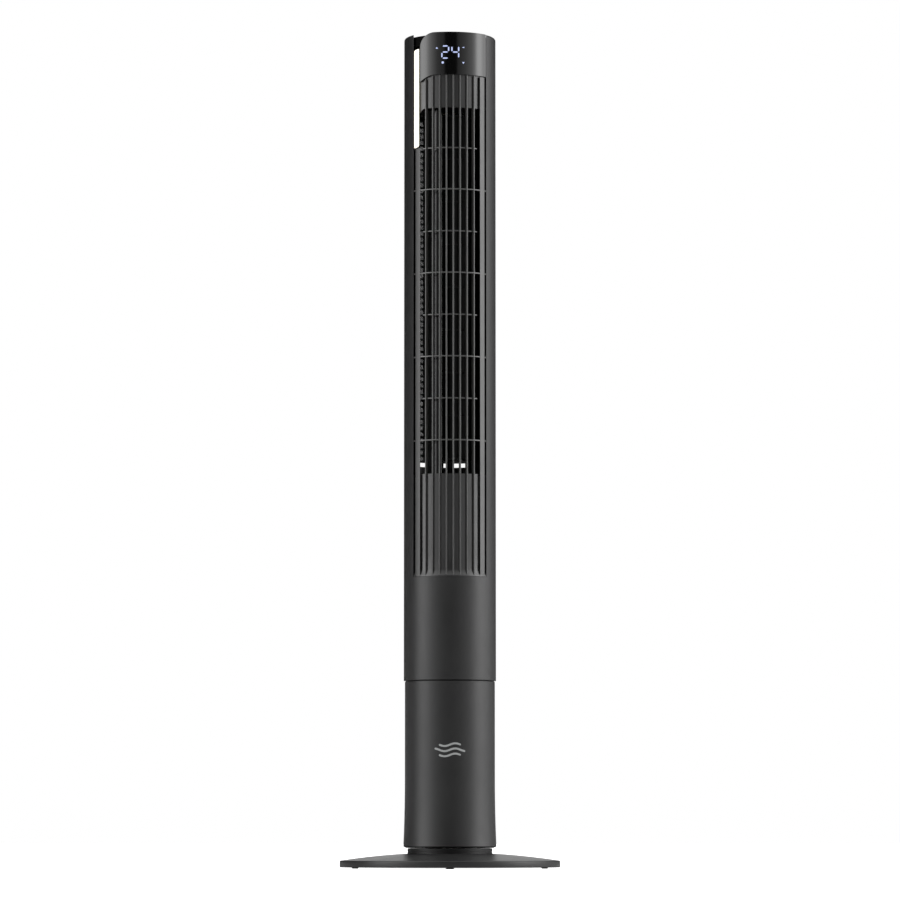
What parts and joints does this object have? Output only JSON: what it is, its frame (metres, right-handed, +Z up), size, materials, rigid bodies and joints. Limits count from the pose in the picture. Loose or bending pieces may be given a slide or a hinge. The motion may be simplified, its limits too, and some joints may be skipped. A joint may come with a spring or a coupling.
{
  "type": "tower fan",
  "caption": "Slim round tower fan with a barred air outlet, a touch display and a strip lamp, swinging on a low domed base.",
  "frame": {"origin": "centre of the base on the surface it stands on, on the swing axis", "axes": "+Z up along the tower; the outlet, display and lamp face -Y; +X is to the right seen from the front"},
  "size_m": [0.312, 0.312, 1.186],
  "materials": {
    "shell_plastic": "fine matte grain",
    "grille_plastic": "satin",
    "inner_plastic": "plain matte",
    "display_gloss": "piano gloss",
    "lamp_diffuser": "frosted, lit",
    "rubber": "matte",
    "steel": "zinc plated sheet",
    "zinc": "bright zinc",
    "acetal": "self-lubricating plastic",
    "circuit_board": "solder mask",
    "bronze": "sintered"
  },
  "bodies": {
    "base": {"base_cover": "shell_plastic", "base_floor": "inner_plastic", "base_weight": "steel", "swivel_collar": "shell_plastic", "pivot_post": "acetal", "sun_gear": "acetal", "retaining_clip": "steel", "thrust_washer": "acetal", "foot_front": "rubber", "foot_right": "rubber", "foot_rear": "rubber", "foot_left": "rubber", "base_screw_1": "zinc", "base_screw_2": "zinc", "base_screw_3": "zinc", "base_screw_4": "zinc"},
    "tower": {"turntable": "inner_plastic", "pivot_bush": "acetal", "swing_bracket": "steel", "swing_motor": "zinc", "lower_column": "shell_plastic", "cord_gland": "rubber", "coupling_ring": "inner_plastic", "column_screw_1": "zinc", "column_screw_2": "zinc", "housing_screw_1": "zinc", "housing_screw_2": "zinc", "cap_screw_1": "zinc", "cap_screw_2": "zinc", "board_carrier": "inner_plastic", "power_board": "circuit_board", "front_housing": "shell_plastic", "rear_housing": "shell_plastic", "top_cap": "inner_plastic", "display_panel": "display_gloss", "display_board": "circuit_board", "digit_module": "display_gloss", "lamp_diffuser": "lamp_diffuser", "lamp_board": "circuit_board", "front_grille": "grille_plastic", "motor_mount": "inner_plastic", "bearing_bracket": "inner_plastic", "upper_bearing": "bronze", "main_motor": "steel", "duct_scroll": "inner_plastic", "duct_tongue": "inner_plastic"},
    "impeller": {"impeller": "inner_plastic"},
    "swing_pinion": {"swing_pinion": "acetal"}
  },
  "joints": [
    {"name": "tower_swing", "type": "hinge", "parent": "base", "child": "tower", "pos_m": [0, 0, 0.0292], "axis": [0, 0, 1], "range_deg": [-40, 40]},
    {"name": "impeller_spin", "type": "hinge", "parent": "tower", "child": "impeller", "pos_m": [0, 0.006, 0.8], "axis": [0, 0, 1], "continuous": true},
    {"name": "pinion_spin", "type": "hinge", "parent": "tower", "child": "swing_pinion", "pos_m": [0, 0.0377, 0.0376], "axis": [0, 0, 1], "range_deg": [-165, 165]}
  ],
  "couplings": [
    {"joint": "pinion_spin", "follows": "tower_swing", "ratio": 4}
  ]
}
